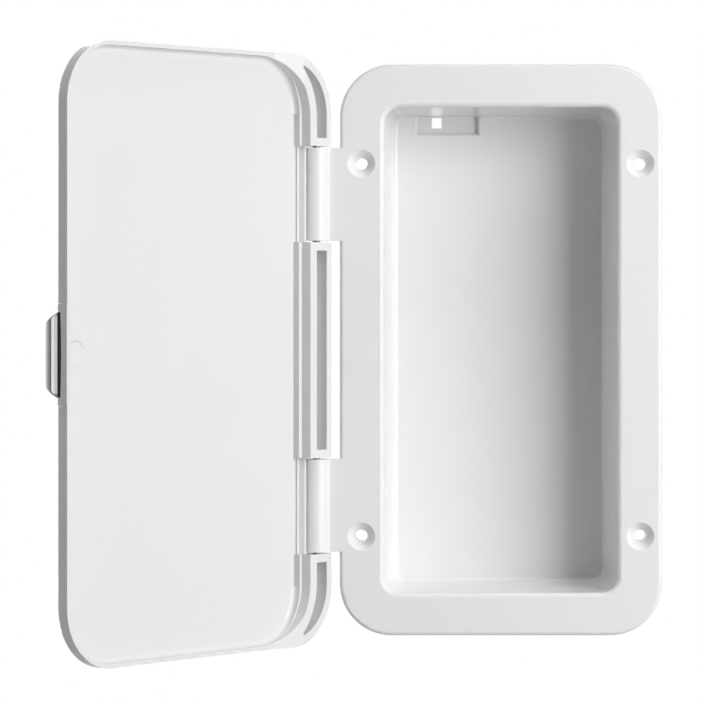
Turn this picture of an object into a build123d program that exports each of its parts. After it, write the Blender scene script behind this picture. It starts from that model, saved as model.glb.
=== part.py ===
"""Recessed storage box with a side-hinged lid, screwed into a panel. All sizes in millimetres.

+X is to the right, +Y goes into the panel and +Z is up. The origin is the middle of the flange's
seating plane. The lid is drawn wide open, up against the stop ribs behind the knuckles.
"""
import math
import os

from build123d import *

os.makedirs("parts", exist_ok=True)

overrun = 2.0  # how far a cut runs past the face it opens

# Flange round the opening
flange_width = 130.5
flange_height = 231.3
flange_corner = 21.0
flange_depth = 13.5
flange_wall = 3.4
skirt_wall = 2.6
flange_edge_round = 1.6

# Tub behind the flange, which narrows a little towards its back
side_border = 17.75
end_border = 17.1
mouth_corner = 6.7
side_draft = 3.9
end_draft = 2.15
back_corner = 4.8
tub_depth = 38.0
tub_wall = 2.4
lip_round = 1.9
back_round = 1.8

# Pocket in the back wall, under the tub's ceiling, with a small outlet in its rear wall
pocket_side_inset = 9.55
pocket_width = 25.1
pocket_height = 7.3
pocket_depth = 2.5
pocket_chamfer = 0.8
pocket_round = 2.0
outlet_inset = 8.0
outlet_drop = 2.75
outlet_width = 4.0
outlet_height = 4.4

# Screws through the flange
screw_side_inset = 8.75
screw_end_inset = 40.15
screw_hole_radius = 2.5
screw_sink_radius = 5.65
screw_sink_angle = 90.0
screw_pillar_radius = 6.2

# Hinge between the flange's left side and the lid
hinge_offset = 9.5
knuckle_radius = 5.4
knuckle_end_inset = 33.95
knuckle_length = 37.5
knuckle_end_gap = 0.7
knuckle_relief = 0.35
pin_radius = 1.5
pin_running_gap = 0.05
pin_tight_gap = 0.02
open_angle = 128.5
stop_gap = 0.35
stop_rib_width = 2.0
stop_rib_reach = 0.9
stop_rib_root = 2.5

# Lid panel; u runs from the hinge axis to the free edge, w from the outer face inwards
lid_side_overhang = 3.3
lid_end_overhang = 3.5
lid_corner = 24.0
lid_skin = 2.15
lid_edge_round = 0.8
rim_wall = 1.6
rim_fillet = 2.0
rim_height = 5.1
recess_inset = 0.37
ledge_width = 1.47
middle_ledge_step = 0.5
block_height = 9.5
block_edge_round = 1.3
ramp_start_u = 12.0
ramp_end_u = 25.0
slot_outer_wall = 3.7
slot_inner_wall = 3.96
slot_floor = 2.8
slot_end_wall = 3.3
strap_edge_u = 3.6
bead_edge_u = 6.9
bead_drop = 0.35
strap_start_u = 8.0
strap_end_u = 9.1
strap_drop = 2.3

# Latch at the lid's free edge; v runs inwards from the free edge
latch_gap = 0.3
notch_end_gap = 0.12
leg_length = 38.3
leg_setback = 0.15
leg_inner_v = 2.2
leg_start_w = 0.1
leg_end_w = 4.75
web_length = 32.0
web_start_v = 1.3
web_end_v = 2.6
pad_setback = 0.3
pad_rise = 1.3
pad_bow = 0.35
cap_length = 33.4
cap_depth_v = 11.0
cap_height = 7.1
cap_shoulder_height = 5.7
cap_end_height = 0.7
cap_end_round = 1.4
cap_shoulder_z = 13.6
cap_lip_v = 0.25
cap_bulge = 0.45
cap_bulge_w = 3.3
cap_brow_v = 0.35
cap_brow_w = 6.5
cap_crown_v = 1.8
cap_tail_lift = 1.2
cap_wall = 1.2
cap_seat_w = 4.2
cavity_length = 23.2
latch_pin_v = 5.2
latch_pin_w = 2.3
latch_pin_radius = 1.0
latch_bore_gap = 0.05
ear_radius = 1.6
ear_start_z = 8.0
ear_thickness = 2.0
ear_root = 0.6
boss_end_v = 6.5
boss_lift = 0.9
tail_end_v = 9.0
tail_width = 8.0
tail_lift = 1.6
spring_middle_v = 7.9
spring_radius = 1.5
spring_thickness = 0.4
spring_width = 6.0

# Where things lie, worked out from the sizes above
front_y = -flange_depth
back_wall_y = front_y + tub_depth
mouth_width = flange_width - 2 * side_border
mouth_height = flange_height - 2 * end_border
back_width = mouth_width - 2 * side_draft
back_height = mouth_height - 2 * end_draft
hinge_x = -(flange_width / 2 + hinge_offset)
hinge_y = front_y
knuckle_start = flange_height / 2 - knuckle_end_inset - knuckle_length
knuckle_middle_z = knuckle_start + knuckle_length / 2
lid_end_u = hinge_offset + flange_width + lid_side_overhang
lid_length = lid_end_u + knuckle_radius
lid_middle_u = (lid_end_u - knuckle_radius) / 2
lid_height = flange_height + 2 * lid_end_overhang
recess_start_u = hinge_offset + recess_inset
recess_end_u = lid_end_u - rim_wall
recess_height = lid_height - 2 * rim_wall
recess_corner = lid_corner - rim_wall
foot_z = recess_height / 2 - recess_corner
block_inner_u = recess_start_u - ledge_width
block_inner_corner = recess_corner + ledge_width
block_top_h = block_height - knuckle_radius
inner_face_h = lid_skin - knuckle_radius
gap_start_z = knuckle_start - knuckle_end_gap
gap_end_z = knuckle_start + knuckle_length + knuckle_end_gap
gap_length = gap_end_z - gap_start_z

# Directions of the open lid: u along it from the hinge axis, w through it from the outer face
turn = math.radians(open_angle)
u_dir = Vector(math.cos(turn), -math.sin(turn), 0)
w_dir = Vector(math.sin(turn), math.cos(turn), 0)
up_dir = Vector(0, 0, 1)
hinge_point = Vector(hinge_x, hinge_y, 0)


def panel_plane(y):
    """Plane facing the viewer at depth y, with X across and Z up."""
    return Plane(origin=(0, y, 0), x_dir=(1, 0, 0), z_dir=(0, -1, 0))


def lid_face(w):
    """Plane along the lid at depth w, with u across and Z up, facing outwards."""
    return Plane(origin=hinge_point + w_dir * (w - knuckle_radius), x_dir=u_dir, z_dir=-w_dir)


def lid_section(z):
    """Plane across the hinge axis at height z: u across, and up the distance inwards of the axis."""
    return Plane(origin=hinge_point + up_dir * z, x_dir=u_dir, z_dir=up_dir)


def lid_edge_plane(v):
    """Plane parallel to the free edge, v in from it: Z across, and up the distance inwards of the axis."""
    return Plane(origin=hinge_point + u_dir * (lid_end_u - v), x_dir=up_dir, z_dir=-u_dir)


def at(v, w):
    """A point of the latch's section, from the free edge and the outer face, in section coordinates."""
    return (lid_end_u - v, w - knuckle_radius)


def section_box(v_low, v_high, w_low, w_high, mode=Mode.ADD):
    """Rectangle of the latch's section between two distances v and two depths w."""
    with Locations(at((v_low + v_high) / 2, (w_low + w_high) / 2)):
        Rectangle(v_high - v_low, w_high - w_low, mode=mode)


def tub_outline(y, grow):
    """Width, height and corner of the tub's inside at depth y, grown by a wall."""
    share = (y - front_y) / tub_depth
    width = mouth_width + (back_width - mouth_width) * share + 2 * grow
    height = mouth_height + (back_height - mouth_height) * share + 2 * grow
    corner = mouth_corner + (back_corner - mouth_corner) * share + grow
    return width, height, corner


# Box body: one white moulding with the flange, the tub, the hinge arms and the knuckles
pocket_middle_x = -back_width / 2 + pocket_side_inset + pocket_width / 2
outlet_x = -back_width / 2 + pocket_side_inset + outlet_inset
pocket_top_z = back_height / 2
pocket_middle_z = pocket_top_z - pocket_height / 2
pocket_back_y = back_wall_y + pocket_depth
screw_x = flange_width / 2 - screw_side_inset
screw_z = flange_height / 2 - screw_end_inset
screw_spots = [(sx * screw_x, sz * screw_z) for sx in (-1, 1) for sz in (-1, 1)]
arm_root_x = -flange_width / 2 + skirt_wall
knuckle_spots = [sign * knuckle_middle_z for sign in (-1, 1)]
rib_middle_u = strap_edge_u - stop_gap - stop_rib_width / 2
rib_height = stop_rib_reach + stop_rib_root
rib_middle_h = -knuckle_radius + stop_rib_root - rib_height / 2

with BuildPart() as box_body:
    with BuildSketch(panel_plane(0)):
        RectangleRounded(flange_width, flange_height, flange_corner)
    extrude(amount=flange_depth)
    fillet(box_body.faces().sort_by(Axis.Y)[0].edges(), radius=flange_edge_round)

    # hollow back of the flange
    with BuildSketch(panel_plane(0)):
        RectangleRounded(flange_width - 2 * skirt_wall, flange_height - 2 * skirt_wall,
                         flange_corner - skirt_wall)
    extrude(amount=flange_depth - flange_wall, mode=Mode.SUBTRACT)

    # outside of the tub, the pocket's housing and the pillars under the screws
    for y in (front_y + flange_wall / 2, back_wall_y + tub_wall):
        with BuildSketch(panel_plane(y)):
            RectangleRounded(*tub_outline(y, tub_wall))
    loft(ruled=True)
    with BuildSketch(panel_plane(pocket_back_y + tub_wall)):
        with Locations((pocket_middle_x, pocket_middle_z)):
            RectangleRounded(pocket_width + 2 * tub_wall, pocket_height + 2 * tub_wall, pocket_round)
    extrude(amount=pocket_depth + tub_wall)
    with BuildSketch(panel_plane(0)):
        with Locations(*screw_spots):
            Circle(screw_pillar_radius)
    extrude(amount=flange_depth - flange_wall / 2)

    # inside of the tub, with its rounded lip and back edge
    for y in (front_y, back_wall_y):
        with BuildSketch(panel_plane(y)):
            RectangleRounded(*tub_outline(y, 0))
    loft(ruled=True, mode=Mode.SUBTRACT)
    back_face = (box_body.faces().filter_by(Axis.Y)
                 .sort_by(lambda f: abs(f.center().Y - back_wall_y))[0])
    fillet(back_face.edges(), radius=back_round)
    front_face = box_body.faces().sort_by(Axis.Y)[0]
    fillet(front_face.inner_wires()[0].edges(), radius=lip_round)

    # pocket and outlet
    with BuildSketch(panel_plane(pocket_back_y)):
        with Locations((pocket_middle_x, pocket_middle_z)):
            Rectangle(pocket_width, pocket_height)
    extrude(amount=pocket_depth + overrun, mode=Mode.SUBTRACT)
    for y, grow in ((back_wall_y - pocket_chamfer, 2 * pocket_chamfer), (back_wall_y + pocket_chamfer, 0)):
        with BuildSketch(panel_plane(y)):
            with Locations((pocket_middle_x, pocket_middle_z - grow / 2)):
                Rectangle(pocket_width + 2 * grow, pocket_height + grow)
    loft(ruled=True, mode=Mode.SUBTRACT)
    with BuildSketch(panel_plane(pocket_back_y + tub_wall + overrun)):
        with Locations((outlet_x, pocket_top_z - outlet_drop)):
            Rectangle(outlet_width, outlet_height)
    extrude(amount=tub_wall + 2 * overrun, mode=Mode.SUBTRACT)

    # hinge arms, flush with the flange's front, and the knuckles at their ends
    for middle_z in knuckle_spots:
        with BuildSketch(Plane(origin=(0, 0, middle_z - knuckle_length / 2), x_dir=(1, 0, 0), z_dir=(0, 0, 1))):
            with Locations(((hinge_x + arm_root_x) / 2, hinge_y + knuckle_radius / 2)):
                Rectangle(arm_root_x - hinge_x, knuckle_radius)
            with Locations((hinge_x, hinge_y)):
                Circle(knuckle_radius)
                Circle(pin_radius + pin_running_gap, mode=Mode.SUBTRACT)
        extrude(amount=knuckle_length)

    # ribs behind the knuckles, on which the open lid's straps stop
    for middle_z in knuckle_spots:
        with BuildSketch(lid_section(middle_z - knuckle_length / 2)):
            with Locations((rib_middle_u, rib_middle_h)):
                Rectangle(stop_rib_width, rib_height)
        extrude(amount=knuckle_length)

    # countersunk screw holes
    with Locations(panel_plane(front_y)):
        with Locations(*screw_spots):
            CounterSinkHole(screw_hole_radius, screw_sink_radius, counter_sink_angle=screw_sink_angle)

box_body.part.label = "box_body"
export_step(box_body.part, "parts/box_body.step")


# Lid panel: one white moulding with a rim and a raised hinge block
slot_start_u = -knuckle_radius + slot_outer_wall
slot_end_u = block_inner_u - slot_inner_wall
middle_slot_z = gap_start_z - slot_end_wall
corner_slot_z = gap_end_z + slot_end_wall
corner_slot_length = lid_height / 2 - corner_slot_z
slot_cut = block_height - slot_floor + overrun
notch_length = leg_length + 2 * notch_end_gap
notch_depth = web_end_v + latch_gap
pin_hole_radius = pin_radius + pin_tight_gap


def lid_outline(inset):
    """The lid's outline, moved inwards."""
    with Locations((lid_middle_u, 0)):
        RectangleRounded(lid_length - 2 * inset, lid_height - 2 * inset, lid_corner - inset)


def block_inside(grow, mode=Mode.ADD):
    """The hinge block's inner outline, moved towards the hinge."""
    with Locations(((block_inner_u + recess_end_u) / 2, 0)):
        RectangleRounded(recess_end_u - block_inner_u + 2 * grow, recess_height + 2 * grow,
                         block_inner_corner + grow, mode=mode)


def span(u_low, u_high, z_low, z_high, mode=Mode.ADD):
    """Rectangle of the lid between two distances u and two heights."""
    with Locations(((u_low + u_high) / 2, (z_low + z_high) / 2)):
        Rectangle(u_high - u_low, z_high - z_low, mode=mode)


with BuildPart() as lid_panel:
    with BuildSketch(lid_face(block_height)):
        lid_outline(0)
    extrude(amount=block_height)
    lid_faces = lid_panel.faces().sort_by(Axis((hinge_x, hinge_y, 0), tuple(w_dir)))
    outer_edges, block_edges = lid_faces[0].edges(), lid_faces[-1].edges()
    fillet(outer_edges, radius=lid_edge_round)
    fillet(block_edges, radius=block_edge_round)

    # rim height away from the hinge; the raised block runs down to it round the two corners
    with BuildSketch(lid_section(-lid_height / 2 - overrun)):
        Polygon((ramp_start_u, block_top_h), (ramp_end_u, rim_height - knuckle_radius),
                (lid_end_u + overrun, rim_height - knuckle_radius),
                (lid_end_u + overrun, block_top_h + overrun), (ramp_start_u, block_top_h + overrun),
                align=None)
    extrude(amount=lid_height + 2 * overrun, mode=Mode.SUBTRACT)
    with BuildSketch(lid_face(rim_height)):
        block_inside(0)
    extrude(amount=-(block_height - rim_height + overrun), mode=Mode.SUBTRACT)

    # recess inside the rim
    with BuildSketch(lid_face(rim_height + overrun)):
        with Locations(((recess_start_u + recess_end_u) / 2, 0)):
            RectangleRounded(recess_end_u - recess_start_u, recess_height, recess_corner)
    extrude(amount=rim_height - lid_skin + overrun, mode=Mode.SUBTRACT)
    inner_face = lid_panel.faces().filter_by(
        lambda f: abs((f.center() - hinge_point).dot(w_dir) - inner_face_h) < rim_fillet / 10)
    fillet(inner_face.sort_by(SortBy.AREA)[-1].edges(), radius=rim_fillet)

    # square foot of the hinge side, with a wider ledge between the knuckles
    with BuildSketch(lid_face(rim_height + overrun)):
        span(recess_start_u, recess_start_u + 2 * rim_fillet, -foot_z, foot_z)
    extrude(amount=rim_height - lid_skin + overrun, mode=Mode.SUBTRACT)
    with BuildSketch(lid_face(rim_height)):
        span(block_inner_u, recess_start_u + middle_ledge_step, -gap_start_z, gap_start_z)
    extrude(amount=rim_height - lid_skin / 2)

    # gaps in which the box's arms and knuckles swing
    for low_z in (-gap_end_z, gap_start_z):
        with BuildSketch(lid_section(low_z)):
            span(-knuckle_radius - overrun, strap_edge_u, -knuckle_radius - overrun, block_top_h + overrun)
            Polygon((0, -bead_drop), (bead_edge_u, -bead_drop), (strap_start_u, -strap_drop),
                    (strap_end_u, -strap_drop), (strap_end_u, inner_face_h),
                    (recess_start_u + overrun, inner_face_h),
                    (recess_start_u + overrun, block_top_h + overrun), (0, block_top_h + overrun),
                    align=None)
            Circle(knuckle_radius + knuckle_relief)
        extrude(amount=gap_length, mode=Mode.SUBTRACT)

    # slots from which the hinge pins are pushed in
    with BuildSketch(lid_face(slot_floor)):
        lid_outline(slot_outer_wall)
        block_inside(slot_inner_wall, Mode.SUBTRACT)
        span(slot_start_u, ramp_end_u, -corner_slot_z, corner_slot_z, Mode.SUBTRACT)
        span(slot_start_u, ramp_end_u / 2, -lid_height / 2, lid_height / 2, Mode.INTERSECT)
        span(slot_start_u, slot_end_u, -middle_slot_z, middle_slot_z)
    extrude(amount=-slot_cut, mode=Mode.SUBTRACT)
    for low_z in (-corner_slot_z, middle_slot_z):
        with BuildSketch(lid_section(low_z - overrun / 2)):
            Circle(pin_hole_radius)
        extrude(amount=corner_slot_z - middle_slot_z + overrun, mode=Mode.SUBTRACT)

    # notch in the free edge for the latch, and the ears that carry its pin
    with BuildSketch(lid_face(rim_height + overrun)):
        span(lid_end_u - notch_depth, lid_end_u + overrun, -notch_length / 2, notch_length / 2)
    extrude(amount=rim_height + 2 * overrun, mode=Mode.SUBTRACT)
    for low_z in (-ear_start_z - ear_thickness, ear_start_z):
        with BuildSketch(lid_section(low_z)):
            section_box(latch_pin_v - ear_radius, latch_pin_v + ear_radius, -latch_pin_w, ear_root)
            with Locations(at(latch_pin_v, -latch_pin_w)):
                Circle(ear_radius)
                Circle(latch_pin_radius + pin_tight_gap, mode=Mode.SUBTRACT)
        extrude(amount=ear_thickness)

lid_panel.part.label = "lid_panel"
export_step(lid_panel.part, "parts/lid_panel.step")


# Hinge pins: plain stainless rods, held in the lid's walls and turning in the knuckles
pin_end_setback = 0.2
pin_length = corner_slot_z - middle_slot_z - 2 * pin_end_setback

with BuildPart() as upper_hinge_pin:
    with BuildSketch(lid_section(middle_slot_z + pin_end_setback)):
        Circle(pin_radius)
    extrude(amount=pin_length)

upper_hinge_pin.part.label = "upper_hinge_pin"
export_step(upper_hinge_pin.part, "parts/upper_hinge_pin.step")

with BuildPart() as lower_hinge_pin:
    with BuildSketch(lid_section(-corner_slot_z + pin_end_setback)):
        Circle(pin_radius)
    extrude(amount=pin_length)

lower_hinge_pin.part.label = "lower_hinge_pin"
export_step(lower_hinge_pin.part, "parts/lower_hinge_pin.step")


# Latch pin: a short steel rod across the two ears
latch_pin_length = 2 * (ear_start_z + ear_thickness)

with BuildPart() as latch_pin:
    with BuildSketch(lid_section(-latch_pin_length / 2)):
        with Locations(at(latch_pin_v, -latch_pin_w)):
            Circle(latch_pin_radius)
    extrude(amount=latch_pin_length)

latch_pin.part.label = "latch_pin"
export_step(latch_pin.part, "parts/latch_pin.step")


# Latch lever: white moulding with the leg in the rim's notch, a web and a boss on the pin
boss_length = 2 * (ear_start_z - latch_gap)
outer_h = -knuckle_radius
pad_height = latch_gap + leg_start_w + pad_rise + pad_bow
pad_arc_radius = ((web_length / 2) ** 2 + pad_bow ** 2) / (2 * pad_bow)


def pad_outline():
    """The black strip seen from the free edge: straight under the cap, slightly bowed towards the leg."""
    with Locations((0, outer_h - latch_gap + pad_height / 2)):
        Rectangle(web_length, pad_height)
    with Locations((0, outer_h - latch_gap + pad_height - pad_arc_radius)):
        Circle(pad_arc_radius, mode=Mode.INTERSECT)


with BuildPart() as latch_lever:
    with BuildSketch(lid_section(-leg_length / 2)):
        section_box(leg_setback, leg_inner_v, leg_start_w, leg_end_w)
    extrude(amount=leg_length)
    with BuildSketch(lid_edge_plane(leg_setback - overrun)):
        pad_outline()
    extrude(amount=web_start_v - leg_setback + overrun, mode=Mode.SUBTRACT)
    with BuildSketch(lid_section(-web_length / 2)):
        section_box(web_start_v, web_end_v, -latch_gap, lid_skin)
    extrude(amount=web_length)
    with BuildSketch(lid_section(-boss_length / 2)):
        section_box(web_start_v, boss_end_v, -cap_seat_w, -boss_lift)
        section_box(web_start_v, web_end_v, -boss_lift, -latch_gap)
    extrude(amount=boss_length)
    with BuildSketch(lid_section(-tail_width / 2)):
        section_box(latch_pin_v, tail_end_v, -cap_seat_w, -tail_lift)
    extrude(amount=tail_width)
    with BuildSketch(lid_section(-boss_length / 2 - overrun)):
        with Locations(at(latch_pin_v, -latch_pin_w)):
            Circle(latch_pin_radius + latch_bore_gap)
    extrude(amount=boss_length + 2 * overrun, mode=Mode.SUBTRACT)

latch_lever.part.label = "latch_lever"
export_step(latch_lever.part, "parts/latch_lever.step")


# Latch pad: black rubber strip between the cap and the lever's leg
with BuildPart() as latch_pad:
    with BuildSketch(lid_edge_plane(pad_setback)):
        pad_outline()
    extrude(amount=web_start_v - pad_setback)

latch_pad.part.label = "latch_pad"
export_step(latch_pad.part, "parts/latch_pad.step")


# Latch cap: chromed hollow casting on the lever, the pull that shows at the free edge
cap_top_w = -cap_height

with BuildPart() as latch_cap:
    with BuildSketch(lid_section(-cap_length / 2)):
        with BuildLine():
            nose = ThreePointArc(at(cap_lip_v, -latch_gap), at(-cap_bulge, -cap_bulge_w),
                                 at(cap_brow_v, -cap_brow_w))
            TangentArc(nose @ 1, at(cap_crown_v, cap_top_w), tangent=nose % 1)
            Polyline(at(cap_crown_v, cap_top_w), at(cap_depth_v, cap_top_w), at(cap_depth_v, -cap_tail_lift),
                     at(latch_pin_v, -latch_gap), at(cap_lip_v, -latch_gap))
        make_face()
    extrude(amount=cap_length)
    with BuildSketch(lid_edge_plane(-overrun)):
        with BuildLine():
            ThreePointArc((-cap_shoulder_z, outer_h - cap_shoulder_height), (0, outer_h - cap_height),
                          (cap_shoulder_z, outer_h - cap_shoulder_height))
            Polyline((cap_shoulder_z, outer_h - cap_shoulder_height),
                     (cap_length / 2, outer_h - cap_end_height), (cap_length / 2, outer_h + overrun),
                     (-cap_length / 2, outer_h + overrun), (-cap_length / 2, outer_h - cap_end_height),
                     (-cap_shoulder_z, outer_h - cap_shoulder_height))
        make_face()
    extrude(amount=cap_depth_v + 2 * overrun, mode=Mode.INTERSECT)
    fillet(latch_cap.edges().filter_by(GeomType.ELLIPSE), cap_end_round)
    with BuildSketch(lid_section(-cavity_length / 2)):
        section_box(cap_wall, cap_depth_v - cap_wall, -cap_seat_w, overrun)
    extrude(amount=cavity_length, mode=Mode.SUBTRACT)

latch_cap.part.label = "latch_cap"
export_step(latch_cap.part, "parts/latch_cap.step")


# Latch spring: a bowed steel leaf under the lever's tail
with BuildPart() as latch_spring:
    with BuildSketch(lid_section(-spring_width / 2)):
        with Locations(at(spring_middle_v, 0)):
            Circle(spring_radius)
            Circle(spring_radius - spring_thickness, mode=Mode.SUBTRACT)
        section_box(spring_middle_v - 2 * spring_radius, spring_middle_v + 2 * spring_radius,
                    0, 2 * spring_radius, Mode.SUBTRACT)
    extrude(amount=spring_width)

latch_spring.part.label = "latch_spring"
export_step(latch_spring.part, "parts/latch_spring.step")
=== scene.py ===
import math

import bpy
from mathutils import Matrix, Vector


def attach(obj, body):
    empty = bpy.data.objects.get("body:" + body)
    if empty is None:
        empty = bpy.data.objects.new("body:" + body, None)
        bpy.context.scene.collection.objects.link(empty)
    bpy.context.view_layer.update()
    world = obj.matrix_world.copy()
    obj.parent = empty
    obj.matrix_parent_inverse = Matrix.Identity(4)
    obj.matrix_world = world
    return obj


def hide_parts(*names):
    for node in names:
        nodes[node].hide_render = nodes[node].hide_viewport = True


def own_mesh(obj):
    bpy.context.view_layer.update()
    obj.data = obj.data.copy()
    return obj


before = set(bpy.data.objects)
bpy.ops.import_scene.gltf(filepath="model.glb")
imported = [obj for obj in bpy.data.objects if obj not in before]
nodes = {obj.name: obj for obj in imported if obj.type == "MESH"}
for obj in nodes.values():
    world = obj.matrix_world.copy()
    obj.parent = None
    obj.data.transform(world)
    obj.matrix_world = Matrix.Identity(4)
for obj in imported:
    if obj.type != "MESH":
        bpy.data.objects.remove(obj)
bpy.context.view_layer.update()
mm = 0.001

# Box body. One injection moulding in white ABS: the flange, the tub behind it, the hinge arms and
# the knuckles. Its tool was polished, so it is glossy, with the faint waviness of a thick moulding.


def hex_colour(text):
    """An sRGB hex value as linear red, green, blue and alpha."""
    parts = [int(text[i:i + 2], 16) / 255 for i in (1, 3, 5)]
    return tuple(c / 12.92 if c <= 0.04045 else ((c + 0.055) / 1.055) ** 2.4 for c in parts) + (1.0,)


def add_node(tree, kind, settings=None, values=None, links=None):
    """Adds a node, sets its properties and input values, and links inputs to other nodes' outputs."""
    node = tree.nodes.new(kind)
    for name, value in (settings or {}).items():
        setattr(node, name, value)
    for name, value in (values or {}).items():
        node.inputs[name].default_value = value
    for name, output in (links or {}).items():
        tree.links.new(output, node.inputs[name])
    return node


def empty_material(name):
    """A material whose node tree is still bare."""
    material = bpy.data.materials.new(name)
    material.use_nodes = True
    material.node_tree.nodes.clear()
    return material


def moulded_abs(name, light, deep, front_roughness, inside_roughness, wave_mm, wave_depth_mm):
    """Polished white plastic: clear gloss, a slight tint change along the flow, and shallow waviness."""
    material = empty_material(name)
    tree = material.node_tree
    place = add_node(tree, "ShaderNodeTexCoord").outputs["Object"]
    # flow marks some 60 mm wide, where the melt cooled at different rates
    flow = add_node(tree, "ShaderNodeTexNoise", values={"Scale": 1 / (60 * mm), "Detail": 2.0},
                    links={"Vector": place})
    tint = add_node(tree, "ShaderNodeMix", {"data_type": "RGBA"}, links={"Factor": flow.outputs["Fac"]})
    tint.inputs["A"].default_value = hex_colour(deep)
    tint.inputs["B"].default_value = hex_colour(light)
    # fine handling haze, about 4 mm across, which breaks the gloss a little
    haze = add_node(tree, "ShaderNodeTexNoise", values={"Scale": 1 / (4 * mm), "Detail": 4.0},
                    links={"Vector": place})
    handled = add_node(tree, "ShaderNodeMapRange",
                       values={"From Min": 0.3, "From Max": 0.7, "To Min": 0.96, "To Max": 1.05},
                       links={"Value": haze.outputs["Fac"]})
    # behind the flange's face, which is at -13.5 mm, the cavity is polished more
    axes = add_node(tree, "ShaderNodeSeparateXYZ", links={"Vector": place})
    depth = add_node(tree, "ShaderNodeMapRange",
                     values={"From Min": -13 * mm, "From Max": -10 * mm, "To Min": front_roughness,
                             "To Max": inside_roughness}, links={"Value": axes.outputs["Y"]})
    gloss = add_node(tree, "ShaderNodeMath", {"operation": "MULTIPLY"})
    tree.links.new(handled.outputs["Result"], gloss.inputs[0])
    tree.links.new(depth.outputs["Result"], gloss.inputs[1])
    wave = add_node(tree, "ShaderNodeTexNoise", values={"Scale": 1 / (wave_mm * mm), "Detail": 1.0},
                    links={"Vector": place})
    bump = add_node(tree, "ShaderNodeBump", values={"Strength": 1.0, "Distance": wave_depth_mm * mm},
                    links={"Height": wave.outputs["Fac"]})
    plastic = add_node(tree, "ShaderNodeBsdfPrincipled", values={"IOR": 1.46},
                       links={"Base Color": tint.outputs["Result"], "Roughness": gloss.outputs["Value"],
                              "Normal": bump.outputs["Normal"]})
    add_node(tree, "ShaderNodeOutputMaterial", links={"Surface": plastic.outputs["BSDF"]})
    return material


def finish_node(name, material):
    """Gives a solid of the object its finish."""
    nodes[name].data.materials.clear()
    nodes[name].data.materials.append(material)


finish_node("box_body", moulded_abs("white_abs_box", light="#e7e7e6", deep="#e4e4e3",
                                    front_roughness=0.34, inside_roughness=0.16,
                                    wave_mm=18, wave_depth_mm=0.012))

# Lid panel. A second white ABS moulding, flatter and a shade greyer than the box. Opposite the latch its
# inner face has a shallow round sink mark, 10 mm across, where the boss under the latch cooled.
lid_abs = moulded_abs("white_abs_lid", light="#dfdfdf", deep="#dcdcdb", front_roughness=0.26,
                      inside_roughness=0.26, wave_mm=24, wave_depth_mm=0.012)
tree = lid_abs.node_tree
plastic = tree.nodes["Principled BSDF"]
waves = plastic.inputs["Normal"].links[0].from_socket
# a sphere with its middle 12 mm above the inner face bounds the mark, and stays clear of the outer face
sphere_middle = (-152.56 * mm, -125.38 * mm, 0)
sphere_radius = 13.04 * mm
mark_edge = 0.2 * mm
mark_depth = 0.4 * mm
place = add_node(tree, "ShaderNodeTexCoord").outputs["Object"]
reach = add_node(tree, "ShaderNodeVectorMath", {"operation": "DISTANCE"})
tree.links.new(place, reach.inputs[0])
reach.inputs[1].default_value = sphere_middle
edge = add_node(tree, "ShaderNodeMapRange", {"interpolation_type": "SMOOTHSTEP"},
                values={"From Min": sphere_radius - mark_edge, "From Max": sphere_radius + mark_edge},
                links={"Value": reach.outputs["Value"]})
sink = add_node(tree, "ShaderNodeBump", values={"Strength": 1.0, "Distance": mark_depth},
                links={"Height": edge.outputs["Result"], "Normal": waves})
tree.links.new(sink.outputs["Normal"], plastic.inputs["Normal"])
finish_node("lid_panel", lid_abs)

# Hinge pins and latch pin. Plain stainless rods, drawn to size, so fine lines run along them.


def drawn_steel(name, colour, line_mm):
    """Drawn or rolled steel: a grey metal whose gloss is broken by fine lines along the drawing."""
    material = empty_material(name)
    tree = material.node_tree
    place = add_node(tree, "ShaderNodeTexCoord").outputs["Object"]
    # lines drawn wider than the real ones, so that they show
    along = add_node(tree, "ShaderNodeMapping", values={"Scale": (1.0, 1.0, 0.04)}, links={"Vector": place})
    lines = add_node(tree, "ShaderNodeTexNoise", values={"Scale": 1 / (line_mm * mm), "Detail": 3.0},
                     links={"Vector": along.outputs["Vector"]})
    gloss = add_node(tree, "ShaderNodeMapRange", values={"To Min": 0.2, "To Max": 0.42},
                     links={"Value": lines.outputs["Fac"]})
    bump = add_node(tree, "ShaderNodeBump", values={"Strength": 0.4, "Distance": 0.01 * mm},
                    links={"Height": lines.outputs["Fac"]})
    steel = add_node(tree, "ShaderNodeBsdfPrincipled",
                     values={"Base Color": hex_colour(colour), "Metallic": 1.0},
                     links={"Roughness": gloss.outputs["Result"], "Normal": bump.outputs["Normal"]})
    add_node(tree, "ShaderNodeOutputMaterial", links={"Surface": steel.outputs["BSDF"]})
    return material


pin_steel = drawn_steel("drawn_stainless_pin", "#9b9a96", 0.4)
for name in ("upper_hinge_pin", "lower_hinge_pin", "latch_pin"):
    finish_node(name, pin_steel)

# Latch spring. A bowed leaf of blue-grey spring steel under the lever's tail, hidden by the cap. It keeps
# the solid's shape and is carried with the lid; on the real latch the tail presses it flatter against the
# lid when the pull is lifted.
leaf = bpy.data.objects.new("spring_leaf", nodes["latch_spring"].data.copy())
bpy.context.scene.collection.objects.link(leaf)
leaf.data.materials.clear()
leaf.data.materials.append(drawn_steel("rolled_spring_steel", "#7f8285", 0.3))
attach(leaf, "lid")
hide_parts("latch_spring")
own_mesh(leaf)

# Latch lever. White acetal, a little bluer and duller than the lid; its leg fills the rim's notch.
finish_node("latch_lever", moulded_abs("white_acetal_lever", light="#dbdcde", deep="#d7d8db",
                                       front_roughness=0.3, inside_roughness=0.3,
                                       wave_mm=6, wave_depth_mm=0.008))
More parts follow.
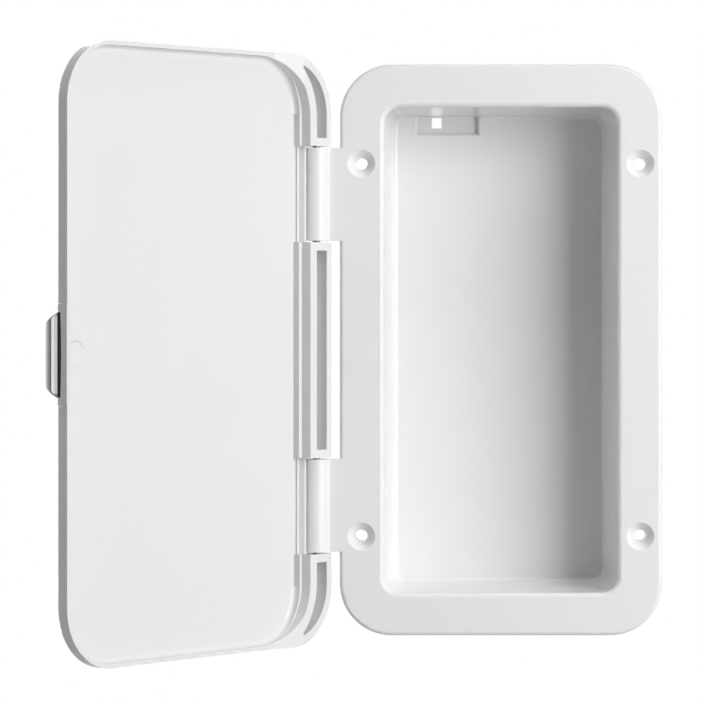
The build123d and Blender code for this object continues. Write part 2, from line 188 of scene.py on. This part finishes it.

# Latch pad. A strip of black rubber between the pull and the lever's leg; its black is partly painted
# shade, standing in for the dark gap under the pull.
black_pad_and_gap_shade = empty_material("black_pad_painted_gap_shade")
tree = black_pad_and_gap_shade.node_tree
place = add_node(tree, "ShaderNodeTexCoord").outputs["Object"]
grain = add_node(tree, "ShaderNodeTexNoise", values={"Scale": 1 / (0.5 * mm), "Detail": 3.0},
                 links={"Vector": place})
shade = add_node(tree, "ShaderNodeMix", {"data_type": "RGBA"}, links={"Factor": grain.outputs["Fac"]})
# painted shade: these near-blacks also stand for the shadow in the gap under the pull
shade.inputs["A"].default_value = hex_colour("#141414")
shade.inputs["B"].default_value = hex_colour("#1f1f1e")
bump = add_node(tree, "ShaderNodeBump", values={"Strength": 0.5, "Distance": 0.03 * mm},
                links={"Height": grain.outputs["Fac"]})
skin = add_node(tree, "ShaderNodeBsdfPrincipled", values={"Roughness": 0.7, "IOR": 1.52},
                links={"Base Color": shade.outputs["Result"], "Normal": bump.outputs["Normal"]})
add_node(tree, "ShaderNodeOutputMaterial", links={"Surface": skin.outputs["BSDF"]})
finish_node("latch_pad", black_pad_and_gap_shade)

# Latch cap. A zinc casting with satin chrome plate, the pull at the lid's free edge.
chrome = empty_material("satin_chrome_plate")
tree = chrome.node_tree
place = add_node(tree, "ShaderNodeTexCoord").outputs["Object"]
satin = add_node(tree, "ShaderNodeTexNoise", values={"Scale": 1 / (0.6 * mm), "Detail": 4.0},
                 links={"Vector": place})
gloss = add_node(tree, "ShaderNodeMapRange", values={"To Min": 0.13, "To Max": 0.19},
                 links={"Value": satin.outputs["Fac"]})
plate = add_node(tree, "ShaderNodeBsdfPrincipled",
                 values={"Base Color": hex_colour("#bfbebc"), "Metallic": 1.0},
                 links={"Roughness": gloss.outputs["Result"]})
add_node(tree, "ShaderNodeOutputMaterial", links={"Surface": plate.outputs["BSDF"]})
finish_node("latch_cap", chrome)

# Floor. A pale paper sheet well below the box, which a panel would hold up. The camera sees it as
# plain white, and so do shiny surfaces where it lies behind the box, under the backdrop.
floor_mesh = bpy.data.meshes.new("floor")
half = 3.0
floor_z = -0.45
floor_mesh.from_pydata([(-half, -half, floor_z), (half, -half, floor_z), (half, half, floor_z),
                        (-half, half, floor_z)], [], [(0, 1, 2, 3)])
floor = bpy.data.objects.new("floor", floor_mesh)
bpy.context.scene.collection.objects.link(floor)


def seen_directly(tree, place, start, end):
    """One for rays from the camera or through clear things, and for mirrored ones far enough behind."""
    rays = add_node(tree, "ShaderNodeLightPath")
    axes = add_node(tree, "ShaderNodeSeparateXYZ", links={"Vector": place})
    behind = add_node(tree, "ShaderNodeMapRange", values={"From Min": start, "From Max": end},
                      links={"Value": axes.outputs["Y"]})
    mirrored = add_node(tree, "ShaderNodeMath", {"operation": "MULTIPLY"})
    tree.links.new(rays.outputs["Is Glossy Ray"], mirrored.inputs[0])
    tree.links.new(behind.outputs["Result"], mirrored.inputs[1])
    straight = add_node(tree, "ShaderNodeMath", {"operation": "MAXIMUM"})
    tree.links.new(rays.outputs["Is Camera Ray"], straight.inputs[0])
    tree.links.new(rays.outputs["Is Transmission Ray"], straight.inputs[1])
    either = add_node(tree, "ShaderNodeMath", {"operation": "MAXIMUM"})
    tree.links.new(straight.outputs["Value"], either.inputs[0])
    tree.links.new(mirrored.outputs["Value"], either.inputs[1])
    return either.outputs["Value"]


paper = empty_material("white_paper_floor")
tree = paper.node_tree
sheet = add_node(tree, "ShaderNodeBsdfPrincipled",
                 values={"Base Color": hex_colour("#bcbcbb"), "Roughness": 0.9})
glow = add_node(tree, "ShaderNodeEmission", values={"Color": hex_colour("#ffffff"), "Strength": 1.0})
place = add_node(tree, "ShaderNodeTexCoord").outputs["Object"]
both = add_node(tree, "ShaderNodeMixShader", links={"Fac": seen_directly(tree, place, 0.1, 0.8)})
tree.links.new(sheet.outputs["BSDF"], both.inputs[1])
tree.links.new(glow.outputs["Emission"], both.inputs[2])
add_node(tree, "ShaderNodeOutputMaterial", links={"Surface": both.outputs["Shader"]})
floor.data.materials.append(paper)

# Studio light. A tall soft box at the right and a long one overhead, a pale card and a strip at the left
# that the pull mirrors, and a lamp behind for the back, in a dim room with a white backdrop.
world = bpy.data.worlds.new("studio")
bpy.context.scene.world = world
world.use_nodes = True
tree = world.node_tree
tree.nodes.clear()
room = add_node(tree, "ShaderNodeBackground", values={"Color": hex_colour("#ffffff"), "Strength": 0.03})
white = add_node(tree, "ShaderNodeBackground", values={"Color": hex_colour("#ffffff"), "Strength": 1.0})
direction = add_node(tree, "ShaderNodeTexCoord").outputs["Generated"]
both = add_node(tree, "ShaderNodeMixShader", links={"Fac": seen_directly(tree, direction, -0.3, 0.6)})
tree.links.new(room.outputs["Background"], both.inputs[1])
tree.links.new(white.outputs["Background"], both.inputs[2])
add_node(tree, "ShaderNodeOutputWorld", links={"Surface": both.outputs["Shader"]})


def soft_box(name, place, aim, width, height, power):
    """An area lamp that faces a point and isn't seen itself."""
    lamp = bpy.data.lights.new(name, "AREA")
    lamp.shape = "RECTANGLE"
    lamp.size = width
    lamp.size_y = height
    lamp.energy = power
    holder = bpy.data.objects.new(name, lamp)
    bpy.context.scene.collection.objects.link(holder)
    holder.visible_camera = False
    holder.location = place
    holder.rotation_euler = (Vector(aim) - Vector(place)).to_track_quat("-Z", "Y").to_euler()


flange_middle = (0, 0, 0)
pull = (-0.165, -0.12, 0)
soft_box("key", (1.02, -1.07, 0.30), flange_middle, width=0.95, height=1.20, power=24.6)
soft_box("overhead", (0.05, -0.40, 1.50), flange_middle, width=0.90, height=0.50, power=7.0)
soft_box("left_card", (-1.33, -0.70, 0.05), pull, width=0.45, height=2.30, power=4.9)
soft_box("left_strip", (-1.02, -1.10, -0.02), pull, width=0.60, height=0.20, power=0.45)
soft_box("back", (-0.72, 1.33, 0.53), flange_middle, width=1.00, height=0.90, power=16)

# Camera. Level and square to the flange, a long lens 1.48 m in front of its face, framed off centre.
focal_pixels = 3655
picture_pixels = 704
flange_face_y = -13.5
distance = 1480
camera = bpy.data.cameras.new("camera")
camera.sensor_width = 36.0
camera.lens = focal_pixels / picture_pixels * camera.sensor_width
camera.shift_x = -0.125
camera.shift_y = -0.0924
viewer = bpy.data.objects.new("camera", camera)
bpy.context.scene.collection.objects.link(viewer)
viewer.location = (-24.65 * mm, (flange_face_y - distance) * mm, 25.5 * mm)
viewer.rotation_euler = (math.pi / 2, 0, 0)
bpy.context.scene.camera = viewer
bpy.context.scene.view_settings.view_transform = "Standard"
